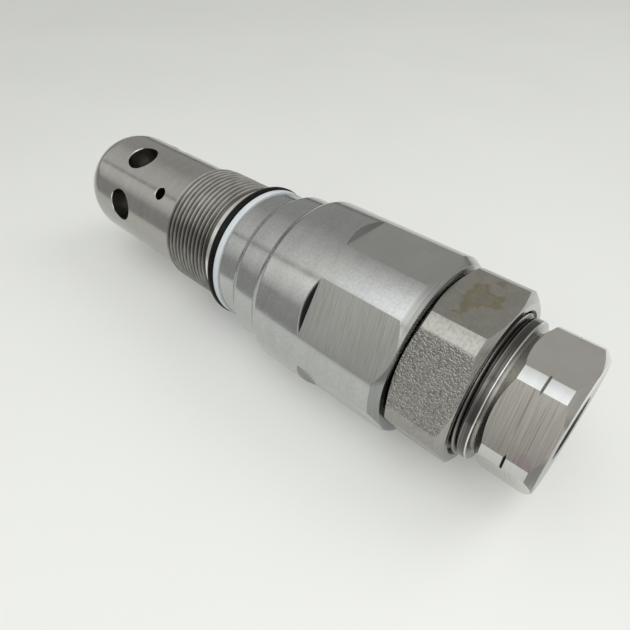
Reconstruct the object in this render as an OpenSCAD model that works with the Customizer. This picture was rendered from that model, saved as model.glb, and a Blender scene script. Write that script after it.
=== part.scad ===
// Screw-in relief valve cartridge with an adjustable, pilot-boosted setting.
// Millimetres. The valve lies on its side: its axis is X, +X towards the adjusting plug, +Z up.
// The origin is on the axis, at the middle of the manifold thread.

/* [Manifold thread] */
// Outside diameter of the manifold thread
thread_d = 33; // [32.9:0.05:33.1]
// Pitch of both screw threads
pitch = 1.5; // [1.4:0.1:1.6]
// Number of full crests on the manifold thread
thread_crests = 10; // [8:1:10]

/* [Nose] */
// Outside diameter of the nose sleeve
nose_d = 30.9; // [30.8:0.1:31]
// Length of the nose sleeve in front of the housing
nose_len = 46.1; // [45.8:0.1:46.4]
// Radius of the rounded nose
nose_round = 10; // [9.5:0.1:10.2]
// Diameter of each cross hole
cross_hole_d = 9; // [8:0.5:9]
// Number of cross holes
cross_holes = 6; // [4:1:6]
// Diameter of the drain hole
drain_hole_d = 3.5; // [3:0.1:3.6]
// Diameter of the pressure inlet in the nose
inlet_d = 13; // [12.6:0.1:13.2]
// Diameter of the bore that the main poppet slides in
poppet_bore_d = 19; // [18.9:0.05:19.1]

/* [Housing] */
// Diameter of the seal land
seal_land_d = 34.7; // [34.6:0.1:34.8]
// Diameter of the second land
second_land_d = 38.6; // [38.4:0.1:38.8]
// Diameter of the housing body
body_d = 42.6; // [42.4:0.1:42.8]
// Housing hexagon, across flats
body_af = 40.4; // [40.2:0.1:40.6]

/* [Lock nut] */
// Lock nut hexagon, across flats
nut_af = 36.8; // [36.6:0.1:37]
// Lock nut diameter over its corners
nut_d = 40.4; // [40.2:0.1:40.6]
// Length of the lock nut
nut_len = 13.6; // [13.4:0.1:13.6]

/* [Adjusting plug] */
// Outside diameter of the adjusting thread
screw_d = 32; // [31.9:0.05:32]
// Plug hexagon, across flats
plug_af = 29.1; // [29:0.1:29.3]
// Plug diameter over its corners
plug_d = 32.05; // [31.9:0.05:32.2]
// Minor diameter of the pilot port's thread
port_d = 11.8; // [11.6:0.1:12]
// Depth of the pilot port
port_depth = 12; // [11:0.5:12]

/* [Springs] */
// Wire diameter of the main spring
main_wire = 1.6; // [1.4:0.1:1.7]
// Turns of the main spring
main_turns = 5; // [4:1:6]
// Wire diameter of the pilot spring
pilot_wire = 2.4; // [2.2:0.1:2.5]
// Turns of the pilot spring
pilot_turns = 9; // [7:1:10]

/* [Fits] */
// Radial clearance of each sliding fit
slide_gap = 0.03; // [0.02:0.01:0.05]
// Radial clearance over each thread crest
thread_gap = 0.1; // [0.08:0.01:0.15]
// Gap left where a poppet meets its seat, and where two turning faces meet
touch_gap = 0.02; // [0.01:0.01:0.03]

/* [Hidden] */
$fn = 96;

// How far a cutting shape runs past what it cuts, and the small chamfer that breaks a sharp edge
past = 1;
edge = 0.2;

// Thread form: crests are flat-topped rings, one for each pitch
crest_flat = pitch / 8;
thread_depth = 0.6134 * pitch;
thread_flank = thread_depth * tan(30);

// Distances along the axis are counted from the first crest of the manifold thread,
// then the whole valve is moved back so that the origin is the middle of that thread.
thread_len = (thread_crests - 1) * pitch;
origin_shift = -thread_len / 2;
thread_r = thread_d / 2;
thread_root_r = thread_r - thread_depth;

// Housing, from the nose towards the plug
housing_front = -1.8;
relief_x = thread_len + 0.8;
relief_end = relief_x + 0.7;
relief_land_r = thread_r - 0.25;
relief_land_end = 16.9;
seal_groove_front = 17.1;
seal_groove_x = 17.4;
seal_cord = 2.4;
backup_w = 1.7;
backup_proud = 0.45;
seal_groove_r = 15.75;
seal_land_x = 21.65;
second_land_x = 27.7;
body_x = 36.5;
lead_in = 2;
lead_in_dr = lead_in * tan(30);
flats_x = 51.9;
body_chamfer_x = 71.2;
housing_back = 73.3;
body_end_r = body_d / 2 - (housing_back - body_chamfer_x) * tan(30);
spigot_r = 12.8;
seat_shoulder_x = 16;
chamber_r = 9;
seal_bore_x = 46;
seal_bore_r = 13.5;
thread_bore_x = 58;
screw_r = screw_d / 2;
screw_bore_r = screw_r + thread_gap;

// Nose sleeve
nose_r = nose_d / 2;
nose_end = housing_front - nose_len;
cross_hole_x = -26;
cross_hole_turn = 18.5;
drain_hole_x = -9.9;
drain_hole_turn = 44.7;
inlet_chamfer = 1.2;
seat_x = -33;
inlet_r = inlet_d / 2;
poppet_bore_r = poppet_bore_d / 2;
sleeve_back = 12;
sleeve_groove_x = 4;
sleeve_cord = 1.5;
sleeve_backup_w = 1.2;

// Pilot seat
stem_front = -14.5;
stem_r = poppet_bore_r - slide_gap;
stem_cord = 1.6;
stem_groove_x = -14.1;
drain_groove_w = 3.8;
drain_groove_r = 6.6;
drain_bore_r = 1.1;
drain_circle_r = 6.2;
drain_drillings = 3;
pilot_hole_r = 1.5;
pilot_land = 4;
feed_hole_r = 2.5;

// Main poppet and its spring
poppet_r = poppet_bore_r - slide_gap;
poppet_cone_r = inlet_r - touch_gap;
poppet_cone_half = 1.5;
poppet_neck_x = -28.8;
poppet_skirt_x = -27.8;
poppet_orifice_r = 0.6;
poppet_back = -18.5;
poppet_floor = -28;
poppet_pocket_r = 6.7;
main_spring_r = 5.3;

// Pilot poppet, pilot spring and retainer
pilot_flange_x = 20;
pilot_spring_x = 22;
retainer_x = 56;
pilot_spring_r = 5.8;
pilot_tip_r = pilot_hole_r - touch_gap;
pilot_tip_len = 1.6;
pilot_tip_end_r = pilot_tip_r - 1.2;
pilot_stem_x = seat_shoulder_x + 2;
pilot_stem_r = pilot_tip_r + 1.5;
pilot_flange_r = 6.4;
spring_pin_r = 3.8;
spring_pin_len = 5;
spring_pin_chamfer = 0.5;
retainer_t = 3;

// Adjusting plug, from its inner end towards its port
plug_front = 50;
plug_chamfer = 0.4;
plug_groove_x = 51.2;
plug_cord = 2;
plug_backup_w = 1.4;
plug_spigot_r = seal_bore_r - slide_gap;
screw_x = 61.4;
screw_crests = 18;
screw_last_crest = 87.65;
screw_end = 88.3;
collar_x = 88.4;
collar_end = 90.2;
collar_r = 15.7;
collar_chamfer = 0.3;
neck_r = 13.4;
neck_x = 90.3;
neck_end = 90.7;
plug_hex_x = 92.6;
plug_hex_end = 101.4;
plug_end = 103;
plug_mark_x = 97.05;
plug_mark_half = 0.25;
plug_mark_depth = 0.3;
piston_bore_r = 8;
piston_bore_end = 74;
stop_ring_x = 62.2;
stop_ring_w = 1.2;
stop_ring_r = piston_bore_r + 0.6;
stop_ring_wall = 2;
stop_ring_gap = 5;
passage_r = 2.5;
plug_turn = 0.6;

// Boost piston
piston_front = 66.3;
piston_r = piston_bore_r - slide_gap;
piston_cord = 1.5;
piston_backup_w = 1.2;
piston_groove_x = 68.6;
piston_stem_r = 4.5;

// Lock nut
nut_x = 73.45;
nut_end = nut_x + nut_len;
nut_land_x = 74.75;
nut_land_end = nut_end - 1.2;
nut_turn = 3.9;

// ---------- shared shapes ----------

// A solid turned about the valve's axis. Points are [distance along the axis, radius].
module turned(points) {
  translate([origin_shift, 0, 0]) rotate([0, 90, 0]) rotate_extrude()
    polygon([for (p = points) [p[1], p[0]]]);
}

// A plain bar along the axis, from x0 to x1
module bar(x0, x1, r) {
  translate([origin_shift + x0, 0, 0]) rotate([0, 90, 0]) cylinder(h = x1 - x0, r = r);
}

// A hexagonal bar with flats facing up and down, turned about the axis by a
module hex_bar(x0, x1, af, a) {
  translate([origin_shift + x0, 0, 0]) rotate([a, 0, 0]) rotate([0, 90, 0]) rotate([0, 0, 30])
    cylinder(h = x1 - x0, r = af / 2 / cos(30), $fn = 6);
}

// A round seal: its cord's diameter, the place of its side nearest the nose, and its outer radius
module round_ring(x, cord, outer_r) {
  translate([origin_shift + x + cord / 2, 0, 0]) rotate([0, 90, 0]) rotate_extrude()
    translate([outer_r - cord / 2, 0]) circle(d = cord, $fn = 48);
}

// A flat backup ring with small corner chamfers
module flat_ring(x, w, inner_r, outer_r, c = 0.15) {
  turned([[x, inner_r], [x, outer_r - c], [x + c, outer_r], [x + w - c, outer_r],
    [x + w, outer_r - c], [x + w, inner_r]]);
}

// Outline of ring-shaped thread crests: n crests from x0, as [x, r] points
function crest_points(x0, n, crest_r) = [for (i = [0 : n - 1], p = [
    [x0 + i * pitch - crest_flat / 2 - thread_flank, crest_r - thread_depth],
    [x0 + i * pitch - crest_flat / 2, crest_r],
    [x0 + i * pitch + crest_flat / 2, crest_r],
    [x0 + i * pitch + crest_flat / 2 + thread_flank, crest_r - thread_depth]]) p];

// A rectangle in the turning plane: from x0 to x1 along the axis, from r0 to r1 outwards
module patch(x0, x1, r0, r1) {
  translate([r0, x0]) square([r1 - r0, x1 - x0]);
}

// A solid turned from flat shapes that are drawn with [radius, distance along the axis]
module turned_shape() {
  translate([origin_shift, 0, 0]) rotate([0, 90, 0]) rotate_extrude() children();
}

// A hole bored inwards from outside, at x along the axis and turned by a, down to radius r0
module radial_hole(x, a, d, r0) {
  translate([origin_shift + x, 0, 0]) rotate([a, 0, 0]) translate([0, 0, r0])
    cylinder(h = nose_r + past - r0, d = d);
}

// A coil spring of round wire with closed ends, swept as one skin
module coil_spring(x0, x1, mean_r, wire, turns) {
  sides = 8;
  per_turn = 20;
  closed = 1;
  all_turns = turns + 2 * closed;
  steps = all_turns * per_turn;
  run = x1 - x0 - wire - 2 * closed * wire;
  function rise(t) = t < closed ? t * wire
    : t > all_turns - closed ? wire * closed + run + (t - all_turns + closed) * wire
    : wire * closed + run * (t - closed) / turns;
  points = [for (i = [0 : steps], j = [0 : sides - 1])
    let (t = i / per_turn, a = 360 * t, b = 360 * j / sides, r = mean_r + wire / 2 * cos(b))
    [x0 + wire / 2 + rise(t) + wire / 2 * sin(b), r * cos(a), r * sin(a)]];
  walls = [for (i = [0 : steps - 1], j = [0 : sides - 1])
    let (k = (j + 1) % sides)
    [i * sides + j, i * sides + k, (i + 1) * sides + k, (i + 1) * sides + j]];
  start_cap = [[for (j = [0 : sides - 1]) sides - 1 - j]];
  end_cap = [[for (j = [0 : sides - 1]) steps * sides + j]];
  translate([origin_shift, 0, 0]) polyhedron(points, concat(walls, start_cap, end_cap), convexity = 10);
}

// ---------- nose sleeve and its seals ----------

module nose_sleeve() {
  color([0.60, 0.59, 0.56]) difference() {
    turned_shape() difference() {
      union() {
        intersection() {
          translate([nose_r - nose_round, nose_end + nose_round]) circle(r = nose_round);
          patch(nose_end, nose_end + nose_round, 0, nose_r);
        }
        patch(nose_end, nose_end + nose_round, 0, nose_r - nose_round);
        patch(nose_end + nose_round, housing_front, 0, nose_r);
        patch(housing_front, sleeve_back, 0, spigot_r);
      }
      patch(nose_end - past, seat_x, 0, inlet_r);
      patch(seat_x, sleeve_back + past, 0, poppet_bore_r);
      polygon([[inlet_r, nose_end + inlet_chamfer], [inlet_r + inlet_chamfer + past, nose_end - past],
        [inlet_r, nose_end - past]]);
      patch(sleeve_groove_x, sleeve_groove_x + sleeve_cord + sleeve_backup_w, spigot_r - sleeve_cord,
        spigot_r + past);
    }
    for (k = [0 : cross_holes - 1])
      radial_hole(cross_hole_x, cross_hole_turn + k * 360 / cross_holes, cross_hole_d,
        poppet_bore_r - past);
    radial_hole(drain_hole_x, drain_hole_turn, drain_hole_d, poppet_bore_r - past);
  }
}

module sleeve_o_ring() {
  color([0.06, 0.06, 0.07]) round_ring(sleeve_groove_x, sleeve_cord, spigot_r);
}

module sleeve_backup_ring() {
  color([0.86, 0.88, 0.92])
    flat_ring(sleeve_groove_x + sleeve_cord, sleeve_backup_w, spigot_r - sleeve_cord, spigot_r);
}

// ---------- housing and its seals ----------

module housing_blank() {
  turned(concat(
    [[housing_front, 0], [housing_front, thread_root_r]],
    crest_points(0, thread_crests, thread_r),
    [[relief_x, thread_root_r], [relief_end, relief_land_r], [relief_land_end, relief_land_r],
      [seal_groove_front, seal_groove_r], [seal_land_x, seal_groove_r],
      [seal_land_x, seal_land_d / 2 - edge], [seal_land_x + edge, seal_land_d / 2],
      [second_land_x, seal_land_d / 2], [second_land_x, second_land_d / 2 - lead_in_dr],
      [second_land_x + lead_in, second_land_d / 2], [body_x, second_land_d / 2],
      [body_x, body_d / 2 - lead_in_dr], [body_x + lead_in, body_d / 2],
      [body_chamfer_x, body_d / 2], [housing_back, body_end_r], [housing_back, 0]]));
}

// The milling cut for one flat: its nose end slopes at 45 degrees
module flat_cut() {
  deep = body_d;
  translate([origin_shift, 0, 0]) rotate([90, 0, 0]) linear_extrude(height = deep, center = true)
    polygon([[flats_x, body_af / 2], [flats_x - deep / 4, body_af / 2 + deep / 4],
      [housing_back + past, body_af / 2 + deep / 4], [housing_back + past, body_af / 2]]);
}

module housing() {
  color([0.66, 0.67, 0.66]) difference() {
    housing_blank();
    for (k = [0 : 5]) rotate([60 * k, 0, 0]) flat_cut();
    bar(housing_front - past, seat_shoulder_x, spigot_r);
    bar(seat_shoulder_x - past, seal_bore_x + past, chamber_r);
    bar(seal_bore_x, thread_bore_x + past, seal_bore_r);
    bar(thread_bore_x, housing_back + past, screw_bore_r);
  }
}

module housing_o_ring() {
  color([0.05, 0.05, 0.06]) round_ring(seal_groove_x, seal_cord, seal_groove_r + seal_cord);
}

module housing_backup_ring() {
  color([0.84, 0.88, 0.94])
    flat_ring(seal_groove_x + seal_cord, backup_w, seal_groove_r, seal_land_d / 2 + backup_proud);
}

// ---------- main stage ----------

// The cone meets the seat's edge at the inlet bore, a touch gap away
module main_poppet() {
  tip_x = seat_x - poppet_cone_half;
  neck_front = seat_x + poppet_cone_half;
  neck_rad = poppet_cone_r + poppet_cone_half;
  color([0.42, 0.41, 0.40]) difference() {
    turned([[tip_x, 0], [tip_x, poppet_cone_r - poppet_cone_half], [neck_front, neck_rad],
      [poppet_neck_x, neck_rad], [poppet_skirt_x, poppet_r], [poppet_back, poppet_r],
      [poppet_back, 0]]);
    bar(poppet_floor, poppet_back + past, poppet_pocket_r);
    bar(tip_x - past, poppet_floor + past, poppet_orifice_r);
  }
}

module main_spring() {
  color([0.45, 0.44, 0.43])
    coil_spring(poppet_floor + touch_gap, stem_front - touch_gap, main_spring_r, main_wire, main_turns);
}

// ---------- pilot seat ----------

module pilot_seat() {
  color([0.50, 0.49, 0.47]) difference() {
    turned([[stem_front, 0], [stem_front, stem_r], [stem_groove_x, stem_r],
      [stem_groove_x, stem_r - stem_cord], [stem_groove_x + stem_cord, stem_r - stem_cord],
      [stem_groove_x + stem_cord, stem_r], [drain_hole_x - drain_groove_w / 2, stem_r],
      [drain_hole_x - drain_groove_w / 2, drain_groove_r],
      [drain_hole_x + drain_groove_w / 2, drain_groove_r],
      [drain_hole_x + drain_groove_w / 2, stem_r], [sleeve_back, stem_r], [sleeve_back, spigot_r],
      [seat_shoulder_x, spigot_r], [seat_shoulder_x, 0]]);
    bar(stem_front - past, seat_shoulder_x - pilot_land, feed_hole_r);
    bar(stem_front, seat_shoulder_x + past, pilot_hole_r);
    for (k = [0 : drain_drillings - 1])
      rotate([k * 360 / drain_drillings, 0, 0]) translate([0, 0, drain_circle_r])
        bar(drain_hole_x, seat_shoulder_x + past, drain_bore_r);
  }
}

module pilot_seat_o_ring() {
  color([0.06, 0.06, 0.07]) round_ring(stem_groove_x, stem_cord, stem_r);
}

// ---------- pilot stage ----------

module pilot_poppet() {
  tip_x = seat_shoulder_x - pilot_tip_len;
  pin_end = pilot_spring_x + spring_pin_len;
  color([0.48, 0.47, 0.45])
    turned([[tip_x, 0], [tip_x, pilot_tip_end_r], [seat_shoulder_x, pilot_tip_r],
      [pilot_stem_x, pilot_stem_r], [pilot_flange_x, pilot_stem_r],
      [pilot_flange_x, pilot_flange_r], [pilot_spring_x, pilot_flange_r],
      [pilot_spring_x, spring_pin_r], [pin_end - spring_pin_chamfer, spring_pin_r],
      [pin_end, spring_pin_r - spring_pin_chamfer], [pin_end, 0]]);
}

module pilot_spring() {
  color([0.44, 0.43, 0.42]) coil_spring(pilot_spring_x + touch_gap, retainer_x - touch_gap,
    pilot_spring_r, pilot_wire, pilot_turns);
}

module spring_retainer() {
  pin_x = retainer_x - spring_pin_len;
  plate_r = piston_bore_r - 0.3;
  color([0.52, 0.51, 0.49])
    turned([[pin_x, 0], [pin_x, spring_pin_r - spring_pin_chamfer],
      [pin_x + spring_pin_chamfer, spring_pin_r],
      [retainer_x, spring_pin_r], [retainer_x, plate_r], [retainer_x + retainer_t, plate_r],
      [retainer_x + retainer_t, 0]]);
}

// ---------- boost piston, inside the adjusting plug ----------

module boost_piston() {
  groove_end = piston_groove_x + piston_cord + piston_backup_w;
  color([0.50, 0.49, 0.47])
    turned([[retainer_x + retainer_t, 0], [retainer_x + retainer_t, piston_stem_r],
      [piston_front, piston_stem_r], [piston_front, piston_r], [piston_groove_x, piston_r],
      [piston_groove_x, piston_r - piston_cord], [groove_end, piston_r - piston_cord],
      [groove_end, piston_r], [piston_bore_end - touch_gap, piston_r],
      [piston_bore_end - touch_gap, 0]]);
}

module piston_o_ring() {
  color([0.06, 0.06, 0.07]) round_ring(piston_groove_x, piston_cord, piston_r);
}

module piston_backup_ring() {
  color([0.86, 0.88, 0.92])
    flat_ring(piston_groove_x + piston_cord, piston_backup_w, piston_r - piston_cord, piston_r);
}

// A sprung ring with a gap, in a groove in the plug's bore: it stops the piston's forward stroke
module piston_stop_ring() {
  color([0.30, 0.30, 0.31]) difference() {
    bar(stop_ring_x, stop_ring_x + stop_ring_w, stop_ring_r);
    bar(stop_ring_x - past, stop_ring_x + stop_ring_w + past, stop_ring_r - stop_ring_wall);
    translate([origin_shift + stop_ring_x - past, -stop_ring_gap / 2, 0])
      cube([stop_ring_w + 2 * past, stop_ring_gap, stop_ring_r + past]);
  }
}

// ---------- adjusting plug ----------

module plug_blank() {
  groove_end = plug_groove_x + plug_cord + plug_backup_w;
  root_r = screw_r - thread_depth;
  turned(concat(
    [[plug_front, 0], [plug_front, plug_spigot_r - plug_chamfer],
      [plug_front + plug_chamfer, plug_spigot_r],
      [plug_groove_x, plug_spigot_r], [plug_groove_x, plug_spigot_r - plug_cord],
      [groove_end, plug_spigot_r - plug_cord], [groove_end, plug_spigot_r],
      [screw_x, plug_spigot_r], [screw_x, root_r]],
    crest_points(screw_last_crest - (screw_crests - 1) * pitch, screw_crests, screw_r),
    [[screw_end, root_r], [collar_x, collar_r - edge], [collar_x + edge, collar_r],
      [collar_end - collar_chamfer, collar_r], [collar_end, collar_r - collar_chamfer],
      [neck_x, neck_r], [neck_end, neck_r], [plug_hex_x, plug_d / 2],
      [plug_mark_x - plug_mark_half, plug_d / 2], [plug_mark_x, plug_d / 2 - plug_mark_depth],
      [plug_mark_x + plug_mark_half, plug_d / 2], [plug_hex_end, plug_d / 2],
      [plug_end, plug_d / 2 - (plug_end - plug_hex_end)], [plug_end, 0]]));
}

module adjusting_plug() {
  color([0.62, 0.60, 0.57]) difference() {
    intersection() {
      plug_blank();
      union() {
        bar(plug_front - past, neck_end, screw_r + past);
        hex_bar(neck_x, plug_end + past, plug_af, plug_turn);
      }
    }
    bar(plug_front - past, piston_bore_end, piston_bore_r);
    bar(stop_ring_x, stop_ring_x + stop_ring_w, stop_ring_r);
    bar(piston_bore_end - past, plug_end - port_depth + past, passage_r);
    bar(plug_end - port_depth, plug_end + past, port_d / 2);
  }
}

module adjuster_o_ring() {
  color([0.06, 0.06, 0.07]) round_ring(plug_groove_x, plug_cord, plug_spigot_r);
}

module adjuster_backup_ring() {
  color([0.86, 0.88, 0.92])
    flat_ring(plug_groove_x + plug_cord, plug_backup_w, plug_spigot_r - plug_cord, plug_spigot_r);
}

// ---------- lock nut ----------

module lock_nut() {
  front_r = nut_d / 2 - (nut_land_x - nut_x) * tan(60);
  back_r = nut_d / 2 - (nut_end - nut_land_end) * tan(60);
  color([0.57, 0.56, 0.52]) difference() {
    intersection() {
      turned([[nut_x, 0], [nut_x, front_r], [nut_land_x, nut_d / 2], [nut_land_end, nut_d / 2],
        [nut_end, back_r], [nut_end, 0]]);
      hex_bar(nut_x - past, nut_end + past, nut_af, nut_turn);
    }
    bar(nut_x - past, nut_end + past, screw_bore_r);
  }
}

nose_sleeve();
sleeve_o_ring();
sleeve_backup_ring();
housing();
housing_o_ring();
housing_backup_ring();
main_poppet();
main_spring();
pilot_seat();
pilot_seat_o_ring();
pilot_poppet();
pilot_spring();
spring_retainer();
boost_piston();
piston_o_ring();
piston_backup_ring();
piston_stop_ring();
adjusting_plug();
adjuster_o_ring();
adjuster_backup_ring();
lock_nut();
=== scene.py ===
# %% [markdown]
# # A screw-in relief valve, dressed around its imported frame
# The frame is the CAD assembly: it settles every size, place and joint, and nothing
# here moves or resizes it. The pieces that show from outside are modelled again, finer, in
# the same places, and every piece gets a finish made from nodes. The CAD box is measured first.

# %% Frame
from math import cos, degrees, pi, radians, sin, tan

import bmesh
import bpy
from mathutils import Matrix, Quaternion, Vector


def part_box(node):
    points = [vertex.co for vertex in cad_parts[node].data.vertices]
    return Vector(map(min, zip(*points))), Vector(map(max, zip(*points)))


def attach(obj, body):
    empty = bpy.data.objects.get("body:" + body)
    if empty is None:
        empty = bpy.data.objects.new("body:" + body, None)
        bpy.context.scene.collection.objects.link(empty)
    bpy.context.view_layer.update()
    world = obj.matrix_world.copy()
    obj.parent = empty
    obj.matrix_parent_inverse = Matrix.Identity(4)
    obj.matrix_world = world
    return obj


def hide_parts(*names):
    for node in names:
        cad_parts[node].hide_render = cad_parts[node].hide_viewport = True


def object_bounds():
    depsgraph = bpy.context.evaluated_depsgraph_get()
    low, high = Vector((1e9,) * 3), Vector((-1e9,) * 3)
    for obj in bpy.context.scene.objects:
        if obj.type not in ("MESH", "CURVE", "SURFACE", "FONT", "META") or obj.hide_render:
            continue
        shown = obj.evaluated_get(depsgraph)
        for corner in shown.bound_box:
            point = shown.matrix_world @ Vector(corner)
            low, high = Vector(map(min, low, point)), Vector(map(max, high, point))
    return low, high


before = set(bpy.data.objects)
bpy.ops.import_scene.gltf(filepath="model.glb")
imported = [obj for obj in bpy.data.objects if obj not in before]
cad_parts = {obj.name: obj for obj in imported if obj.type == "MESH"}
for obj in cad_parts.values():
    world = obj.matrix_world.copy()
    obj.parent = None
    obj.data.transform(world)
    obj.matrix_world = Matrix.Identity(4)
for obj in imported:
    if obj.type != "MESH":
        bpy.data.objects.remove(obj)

cad_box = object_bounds()
print("CAD box in mm:", [[round(1000 * value, 2) for value in corner] for corner in cad_box])

# %% [markdown]
# ## Sizes
# A lathe operator reads a shaft as distances along its axis and radii. The same is done here:
# distances are in millimetres from the first crest of the manifold thread, with +X towards
# the adjusting plug, and radii are measured from the axis. The ends of most parts come from
# the frame's boxes, so a change in the CAD shows up here as well.

# %% Sizes
MM = 0.001
pitch = 1.5
thread_crests = 10
first_crest = -(thread_crests - 1) * pitch / 2
round_steps = 192


def along(distance):
    """A distance from the first crest, as a place on X in metres."""
    return (distance + first_crest) * MM


def distance_of(place):
    """The other way round: a place on X in metres, as a distance from the first crest."""
    return place / MM - first_crest


sleeve_back = distance_of(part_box("nose_sleeve")[1].x)
housing_front = distance_of(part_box("housing")[0].x)
housing_back = distance_of(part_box("housing")[1].x)
nose_length = 46.1
nose_end = housing_front - nose_length
nut_front = distance_of(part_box("lock_nut")[0].x)
nut_back = distance_of(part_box("lock_nut")[1].x)
plug_front = distance_of(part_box("adjusting_plug")[0].x)
plug_back = distance_of(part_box("adjusting_plug")[1].x)
nose_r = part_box("nose_sleeve")[1].y / MM
body_across_flats = 40.4
body_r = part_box("housing")[1].z / MM
nut_r = 20.2
nut_across_flats = 36.8
nut_turn = 3.9
plug_r = 16.025
plug_across_flats = 29.1
plug_turn = 0.6
thread_r = 16.5
screw_r = 16.0
thread_depth = 0.6134 * pitch
print("length in mm:", round(plug_back - nose_end, 2))

# %% [markdown]
# ## Turning
# Nearly everything on this valve was made on a lathe, so one helper does most of the work:
# it joins a few outline points with edges, rounds the corners that ask for it with a vertex
# bevel, and spins the outline once about the axis. A point is distance, radius and, where
# the corner is rounded, the rounding. Spinning leaves doubles at the poles, so they are
# merged before the normals are worked out.

# %% Turning helpers
small_corner = 2
small_corner_steps = 3
big_corner_steps = 24
sharp_angle = 12
eased_angle = 15


def merged(bm):
    """Close seams and poles, then point every face outwards."""
    bmesh.ops.remove_doubles(bm, verts=bm.verts, dist=0.001 * MM)
    bmesh.ops.recalc_face_normals(bm, faces=bm.faces)
    return bm


def outline_edges(bm, outline, closed):
    """The outline as a chain of edges in the XZ plane, with its rounded corners bevelled."""
    corners = []
    for point in outline:
        corners.append(bm.verts.new((along(point[0]), 0.0, point[1] * MM)))
    for start, end in zip(corners, corners[1:]):
        bm.edges.new((start, end))
    if closed:
        bm.edges.new((corners[-1], corners[0]))
    for corner, point in zip(corners, outline):
        if len(point) == 3:
            segments = big_corner_steps if point[2] > small_corner else small_corner_steps
            bmesh.ops.bevel(bm, geom=[corner], offset=point[2] * MM, offset_type="OFFSET",
                            segments=segments, profile=0.5, affect="VERTICES", material=-1)


def spun(bm, steps, axis=(1, 0, 0)):
    """Everything in the bmesh swept one whole turn round an axis, and closed."""
    bmesh.ops.spin(bm, geom=bm.verts[:] + bm.edges[:], cent=(0, 0, 0), axis=axis,
                   angle=2 * pi, steps=steps, use_merge=True)
    return merged(bm)


def turned(outline, closed=True, steps=round_steps):
    """A solid turned about the valve's axis."""
    bm = bmesh.new()
    outline_edges(bm, outline, closed)
    return spun(bm, steps)


def groove(front, back, land_r, floor_r):
    """The four outline points of a groove, met from its front side or from its back."""
    return (front, land_r), (front, floor_r), (back, floor_r), (back, land_r)


def piece(name, bm):
    """A bmesh turned into an object at the origin."""
    mesh = bpy.data.meshes.new(name)
    bm.to_mesh(mesh)
    bm.free()
    made = bpy.data.objects.new(name, mesh)
    bpy.context.scene.collection.objects.link(made)
    return made


def joined_with(made, others, how):
    """Add or cut other solids with exact Booleans, keep the result as plain mesh, drop the others."""
    for other in others:
        step = made.modifiers.new("solid", "BOOLEAN")
        step.operation = how
        step.solver = "EXACT"
        step.object = other
    bpy.context.view_layer.update()
    graph = bpy.context.evaluated_depsgraph_get()
    result = bpy.data.meshes.new_from_object(made.evaluated_get(graph))
    made.modifiers.clear()
    made.data = result
    for other in others:
        bpy.data.objects.remove(other)
    return made


def ease_edges(made, width):
    """Break the sharp edges as a file would: a live bevel on real edges only."""
    step = made.modifiers.new("eased edges", "BEVEL")
    step.width = width * MM
    step.segments = 2
    step.limit_method = "ANGLE"
    step.angle_limit = radians(eased_angle)
    step.use_clamp_overlap = True


def smooth(made, angle=sharp_angle):
    """Smooth shading that breaks at edges sharper than the angle. Prints the piece's size in mm."""
    made.data.shade_smooth()
    made.data.set_sharp_from_angle(angle=radians(angle))
    corners = [made.matrix_world @ Vector(corner) for corner in made.bound_box]
    spans = [max(c[i] for c in corners) - min(c[i] for c in corners) for i in range(3)]
    print(made.name, [round(span / MM, 2) for span in spans], len(made.data.polygons), "faces")

# %% [markdown]
# ## Screw threads
# A thread is a helix, not a row of rings. Spinning with a step along the axis makes one: an
# outline of several crests is turned once while it moves on by one pitch, so that its end
# meets its own start one crest further along, and merging closes the seam. Two cutting
# planes then give the sleeve flat ends, and a bridge closes them. The flank angle is the
# usual 60 degrees with flat crests and roots.

# %% Thread helper
flank_angle = 30
spare_turns = 2


def helix(start, end, crest_r, inner_r, steps=round_steps):
    """A threaded sleeve from start to end, with its crests at first_crest plus whole pitches."""
    depth = thread_depth
    crest = pitch / 8
    flank = depth * tan(radians(flank_angle))
    turns = round((end - start) / pitch) + 2 * spare_turns
    origin = round(start / pitch) * pitch - spare_turns * pitch
    bm = bmesh.new()
    chain = []
    for index in range(turns):
        middle = origin + index * pitch
        for shift, radius in ((-crest / 2 - flank, crest_r - depth), (-crest / 2, crest_r),
                              (crest / 2, crest_r), (crest / 2 + flank, crest_r - depth)):
            chain.append(bm.verts.new((along(middle + shift), 0.0, radius * MM)))
    for before, after in zip(chain, chain[1:]):
        bm.edges.new((before, after))
    bmesh.ops.spin(bm, geom=bm.verts[:] + bm.edges[:], cent=(0, 0, 0), axis=(1, 0, 0),
                   dvec=(pitch * MM / steps, 0, 0), angle=2 * pi, steps=steps, use_merge=False)
    bmesh.ops.remove_doubles(bm, verts=bm.verts, dist=0.001 * MM)
    for place, side in ((start, -1), (end, 1)):
        bmesh.ops.bisect_plane(bm, geom=bm.verts[:] + bm.edges[:] + bm.faces[:],
                               plane_co=(along(place), 0, 0), plane_no=(side, 0, 0), clear_outer=True)
    rims = [edge for edge in bm.edges if edge.is_boundary]
    walls = bmesh.ops.extrude_edge_only(bm, edges=rims)["geom"]
    for vert in [v for v in walls if isinstance(v, bmesh.types.BMVert)]:
        radial = Vector((0, vert.co.y, vert.co.z)).normalized() * inner_r * MM
        vert.co = Vector((vert.co.x, radial.y, radial.z))
    inner_rims = [edge for edge in bm.edges if edge.is_boundary]
    bmesh.ops.bridge_loops(bm, edges=inner_rims)
    return merged(bm)
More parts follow.
